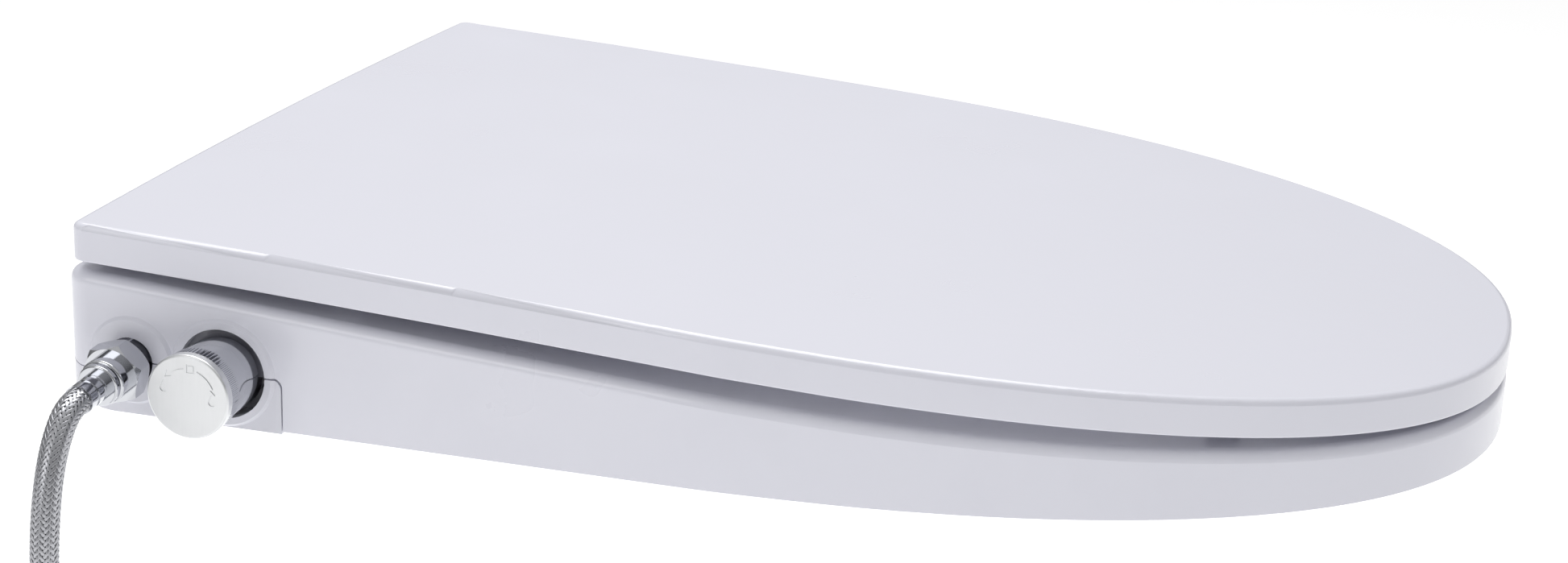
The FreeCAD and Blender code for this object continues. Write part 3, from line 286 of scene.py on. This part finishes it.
def add(tree, kind, **values):
    """A node with its properties and input values set by name."""
    node = tree.nodes.new(kind)
    for key, value in values.items():
        if key in node.inputs:
            node.inputs[key].default_value = value
        else:
            setattr(node, key, value)
    return node


def ramp(tree, factor, low, high, from_low=0.0, from_high=1.0):
    """A mapped and clamped value."""
    node = tree.nodes.new("ShaderNodeMapRange")
    tree.links.new(factor, node.inputs["Value"])
    for key, value in zip(("From Min", "From Max", "To Min", "To Max"), (from_low, from_high, low, high)):
        node.inputs[key].default_value = value
    return node.outputs["Result"]


FLOAT, COLOUR = "NodeSocketFloat", "NodeSocketColor"
MIX_A, MIX_B, MIX_RESULT = 6, 7, 2   # the colour sockets of a mix node

# %% moulded plastic group


def build_moulded():
    """Fine orange-peel, slow unevenness of the gloss, and a trace of colour drift."""
    group, start, end = new_group(
        "moulded_skin",
        [("Colour", COLOUR, (0.8, 0.8, 0.8, 1)), ("Shade", COLOUR, (0.7, 0.7, 0.7, 1)),
         ("Grain Size", FLOAT, 900.0), ("Gloss Low", FLOAT, 0.16), ("Gloss High", FLOAT, 0.26)],
        [("Colour", COLOUR), ("Roughness", FLOAT), ("Height", FLOAT)])
    links = group.links
    place = add(group, "ShaderNodeTexCoord")
    peel = add(group, "ShaderNodeTexNoise", Detail=3.0, Roughness=0.55)
    links.new(place.outputs["Object"], peel.inputs["Vector"])
    links.new(start.outputs["Grain Size"], peel.inputs["Scale"])
    slow = add(group, "ShaderNodeTexNoise", Scale=14.0, Detail=2.0)
    links.new(place.outputs["Object"], slow.inputs["Vector"])
    mix = add(group, "ShaderNodeMix", data_type="RGBA")
    links.new(ramp(group, slow.outputs["Fac"], 0.0, 0.35, 0.35, 0.75), mix.inputs["Factor"])
    links.new(start.outputs["Colour"], mix.inputs[MIX_A])
    links.new(start.outputs["Shade"], mix.inputs[MIX_B])
    gloss = add(group, "ShaderNodeMapRange")
    links.new(slow.outputs["Fac"], gloss.inputs["Value"])
    links.new(start.outputs["Gloss Low"], gloss.inputs["To Min"])
    links.new(start.outputs["Gloss High"], gloss.inputs["To Max"])
    links.new(mix.outputs[MIX_RESULT], end.inputs["Colour"])
    links.new(gloss.outputs["Result"], end.inputs["Roughness"])
    links.new(peel.outputs["Fac"], end.inputs["Height"])
    return group


moulded_skin = build_moulded()
print("group:", moulded_skin.name)

# %% turned and brushed metal group


def build_tool_lines():
    """Fine lines across one axis, as a lathe or a brush leaves them."""
    group, start, end = new_group(
        "tool_lines",
        [("Along", "NodeSocketVector", (1.0, 1.0, 1.0)), ("Line Size", FLOAT, 60.0),
         ("Smooth", FLOAT, 0.1), ("Rough", FLOAT, 0.3)],
        [("Mask", FLOAT), ("Roughness", FLOAT), ("Height", FLOAT)])
    links = group.links
    place = add(group, "ShaderNodeTexCoord")
    stretch = add(group, "ShaderNodeVectorMath", operation="MULTIPLY")
    links.new(place.outputs["Object"], stretch.inputs[0])
    links.new(start.outputs["Along"], stretch.inputs[1])
    lines = add(group, "ShaderNodeTexNoise", Detail=4.0, Roughness=0.65)
    links.new(stretch.outputs["Vector"], lines.inputs["Vector"])
    links.new(start.outputs["Line Size"], lines.inputs["Scale"])
    gloss = add(group, "ShaderNodeMapRange")
    links.new(lines.outputs["Fac"], gloss.inputs["Value"])
    links.new(start.outputs["Smooth"], gloss.inputs["To Min"])
    links.new(start.outputs["Rough"], gloss.inputs["To Max"])
    links.new(lines.outputs["Fac"], end.inputs["Mask"])
    links.new(gloss.outputs["Result"], end.inputs["Roughness"])
    links.new(lines.outputs["Fac"], end.inputs["Height"])
    return group


tool_lines = build_tool_lines()
print("group:", tool_lines.name)

# %% handling marks group


def build_handling():
    """Faint smudges that dull a surface in patches and darken it a little."""
    group, start, end = new_group(
        "handling_marks",
        [("Colour", COLOUR, (0.8, 0.8, 0.8, 1)), ("Roughness", FLOAT, 0.2),
         ("Patch Size", FLOAT, 40.0), ("Amount", FLOAT, 0.1)],
        [("Colour", COLOUR), ("Roughness", FLOAT)])
    links = group.links
    place = add(group, "ShaderNodeTexCoord")
    patch = add(group, "ShaderNodeTexNoise", Detail=5.0, Roughness=0.6, Distortion=0.4)
    links.new(place.outputs["Object"], patch.inputs["Vector"])
    links.new(start.outputs["Patch Size"], patch.inputs["Scale"])
    mask = add(group, "ShaderNodeMath", operation="MULTIPLY")
    links.new(ramp(group, patch.outputs["Fac"], 0.0, 1.0, 0.48, 0.72), mask.inputs[0])
    links.new(start.outputs["Amount"], mask.inputs[1])
    darker = add(group, "ShaderNodeMix", data_type="RGBA", blend_type="MULTIPLY")
    links.new(mask.outputs["Value"], darker.inputs["Factor"])
    links.new(start.outputs["Colour"], darker.inputs[MIX_A])
    darker.inputs[MIX_B].default_value = (0.72, 0.72, 0.74, 1)
    dull = add(group, "ShaderNodeMath", operation="ADD")
    links.new(start.outputs["Roughness"], dull.inputs[0])
    links.new(mask.outputs["Value"], dull.inputs[1])
    links.new(darker.outputs[MIX_RESULT], end.inputs["Colour"])
    links.new(dull.outputs["Value"], end.inputs["Roughness"])
    return group


handling_marks = build_handling()
print("group:", handling_marks.name)

# %% [markdown]
# ## The finishes
# Every finish follows one pattern: a group makes the surface's variation, the handling marks
# dull it here and there, and a bump turns the group's height into relief. White plastic is
# moulded and clear-coated, chrome is smooth with hardly any lines, and the knob's disc is
# turned to a satin.

# %% finish helpers


def start_finish(name):
    """A new material with its shader ready."""
    material = bpy.data.materials.new(name)
    material.use_nodes = True
    tree = material.node_tree
    return material, tree, tree.nodes["Principled BSDF"]


def place_group(tree, group, **values):
    """A node group placed in a material with its own values."""
    node = tree.nodes.new("ShaderNodeGroup")
    node.node_tree = group
    for key, value in values.items():
        node.inputs[key.replace("_", " ")].default_value = value
    return node


def relief(tree, shader, height, strength, depth):
    """Feeds a height into the shader's normal."""
    bump = add(tree, "ShaderNodeBump", Strength=strength, Distance=depth)
    tree.links.new(height, bump.inputs["Height"])
    tree.links.new(bump.outputs["Normal"], shader.inputs["Normal"])


def plastic(name, colour, shade, gloss=(0.16, 0.26), grain=900.0, coat=0.4, marks=0.06, bump=0.05):
    """A moulded plastic."""
    material, tree, shader = start_finish(name)
    skin = place_group(tree, moulded_skin, Colour=(*colour, 1), Shade=(*shade, 1),
                       Grain_Size=grain, Gloss_Low=gloss[0], Gloss_High=gloss[1])
    worn = place_group(tree, handling_marks, Patch_Size=22.0, Amount=marks)
    tree.links.new(skin.outputs["Colour"], worn.inputs["Colour"])
    tree.links.new(skin.outputs["Roughness"], worn.inputs["Roughness"])
    tree.links.new(worn.outputs["Colour"], shader.inputs["Base Color"])
    tree.links.new(worn.outputs["Roughness"], shader.inputs["Roughness"])
    shader.inputs["Coat Weight"].default_value = coat
    shader.inputs["Coat Roughness"].default_value = 0.08
    relief(tree, shader, skin.outputs["Height"], bump, 0.0002)
    return material


def metal(name, colour, smooth, rough, along=(1.0, 1.0, 1.0), size=300.0, marks=0.05, bump=0.03):
    """A bare or plated metal."""
    material, tree, shader = start_finish(name)
    lines = place_group(tree, tool_lines, Along=along, Line_Size=size, Smooth=smooth, Rough=rough)
    tone = add(tree, "ShaderNodeMix", data_type="RGBA")
    tone.inputs[MIX_A].default_value = (*[c * 0.92 for c in colour], 1)
    tone.inputs[MIX_B].default_value = (*colour, 1)
    tree.links.new(lines.outputs["Mask"], tone.inputs["Factor"])
    worn = place_group(tree, handling_marks, Patch_Size=90.0, Amount=marks)
    tree.links.new(tone.outputs[MIX_RESULT], worn.inputs["Colour"])
    tree.links.new(lines.outputs["Roughness"], worn.inputs["Roughness"])
    tree.links.new(worn.outputs["Colour"], shader.inputs["Base Color"])
    tree.links.new(worn.outputs["Roughness"], shader.inputs["Roughness"])
    shader.inputs["Metallic"].default_value = 1.0
    relief(tree, shader, lines.outputs["Height"], bump, 0.0001)
    return material


# %% all finishes
white, white_shade = (0.760, 0.762, 0.835), (0.735, 0.738, 0.815)
finishes = {
    "lid_white": plastic("lid_white", white, white_shade, gloss=(0.24, 0.34)),
    "seat_white": plastic("seat_white", white, white_shade, gloss=(0.24, 0.34)),
    "housing_white": plastic("housing_white", (0.735, 0.738, 0.805), (0.71, 0.712, 0.785),
                             gloss=(0.26, 0.36)),
    "inner_white": plastic("inner_white", (0.62, 0.62, 0.66), (0.56, 0.56, 0.6),
                           gloss=(0.4, 0.55), coat=0.0, grain=500.0, bump=0.15),
    "inner_grey": plastic("inner_grey", (0.10, 0.105, 0.115), (0.08, 0.085, 0.09),
                          gloss=(0.4, 0.55), coat=0.0, grain=500.0, bump=0.15),
    "button_grey": plastic("button_grey", (0.36, 0.37, 0.40), (0.33, 0.34, 0.37), gloss=(0.3, 0.4)),
    "nozzle_white": plastic("nozzle_white", (0.78, 0.78, 0.82), (0.74, 0.74, 0.78)),
    "nozzle_grey": plastic("nozzle_grey", (0.27, 0.30, 0.36), (0.24, 0.27, 0.33)),
    "rubber": plastic("rubber", (0.52, 0.53, 0.56), (0.46, 0.47, 0.5), gloss=(0.6, 0.75), coat=0.0,
                      grain=700.0, bump=0.25),
    "tube": plastic("tube", (0.62, 0.65, 0.70), (0.56, 0.6, 0.66), gloss=(0.3, 0.4), coat=0.1),
    "chrome": metal("chrome", (0.60, 0.61, 0.64), 0.05, 0.13, size=120.0),
    "satin_disc": metal("satin_disc", (0.78, 0.79, 0.80), 0.34, 0.44, along=(1.0, 1.0, 0.08), size=900.0,
                        bump=0.06),
    "brass": metal("brass", (0.56, 0.39, 0.16), 0.25, 0.4),
    "steel": metal("steel", (0.40, 0.41, 0.43), 0.28, 0.45, along=(0.2, 1.0, 1.0)),
    "braid": metal("braid", (0.50, 0.505, 0.53), 0.24, 0.40, size=2200.0, bump=0.1),
}
print("finishes:", len(finishes))

# %% dress every piece
slot_of = {part["node"]: part["material_slot"] for part in frame["record"]["subparts"]}
for node, piece in frame["nodes"].items():
    for slot in piece.material_slots:
        slot.material = finishes[slot_of[node]]
jacket.data.materials.append(finishes["braid"])
core_finish = plastic("hose_liner", (0.02, 0.02, 0.024), (0.015, 0.015, 0.018), gloss=(0.5, 0.7), coat=0.0)
hose_core.data.materials.append(core_finish)
print("dressed:", len(frame["nodes"]))

# %% [markdown]
# ## Floor and light
# White plastic on a white ground only reads by its shading, so the light has to come mostly
# from above, with weaker light on the near side. One large soft box hangs overhead and a
# smaller, dimmer one stands off the near back corner. The surroundings shade from bright
# above to dark at eye level, which gives the chrome its dark bands.

# %% floor
floor_drop = 0.06
floor_half = 12.0
floor_glow = 0.42


def make_floor(height):
    """A wide pale floor."""
    half = floor_half
    mesh = bpy.data.meshes.new("floor")
    corners = [(-half, -half), (half, -half), (half, half), (-half, half)]
    mesh.from_pydata([(x, y, height) for x, y in corners], [], [(0, 1, 2, 3)])
    piece = bpy.data.objects.new("floor", mesh)
    bpy.context.scene.collection.objects.link(piece)
    material, tree, shader = start_finish("pale_floor")
    shader.inputs["Base Color"].default_value = (0.95, 0.95, 0.95, 1)
    shader.inputs["Roughness"].default_value = 0.9
    shader.inputs["Emission Color"].default_value = (1, 1, 1, 1)
    shader.inputs["Emission Strength"].default_value = floor_glow
    mesh.materials.append(material)
    return piece


floor = make_floor(design_box[0][2] - floor_drop)

# %% lights


def soft_box(name, place, target, size, power):
    """A square light that faces a point."""
    light = bpy.data.lights.new(name, "AREA")
    light.size = size
    light.energy = power
    lamp = bpy.data.objects.new(name, light)
    lamp.location = place
    lamp.rotation_euler = (Vector(target) - Vector(place)).to_track_quat("-Z", "Y").to_euler()
    bpy.context.scene.collection.objects.link(lamp)
    return lamp


middle = (0.0, -0.2, 0.03)
sky_strength = 0.62
soft_box("overhead", (0.5, 0.1, 1.7), middle, 1.4, 24.0)
soft_box("near_side", (-1.8, 0.6, 0.8), middle, 0.8, 4.5)


def surroundings(low, high):
    """A soft gradient that is bright overhead."""
    world = bpy.data.worlds.new("surroundings")
    world.use_nodes = True
    tree = world.node_tree
    place = add(tree, "ShaderNodeTexCoord")
    split = add(tree, "ShaderNodeSeparateXYZ")
    tree.links.new(place.outputs["Generated"], split.inputs["Vector"])
    shade = add(tree, "ShaderNodeMix", data_type="RGBA")
    tree.links.new(ramp(tree, split.outputs["Z"], 0.0, 1.0, -0.1, 0.7), shade.inputs["Factor"])
    shade.inputs[MIX_A].default_value = (*low, 1)
    shade.inputs[MIX_B].default_value = (*high, 1)
    tree.links.new(shade.outputs[MIX_RESULT], tree.nodes["Background"].inputs["Color"])
    tree.nodes["Background"].inputs["Strength"].default_value = sky_strength
    bpy.context.scene.world = world


surroundings((0.08, 0.08, 0.09), (1.0, 1.0, 1.0))
print("floor at", round(design_box[0][2] - floor_drop, 3))
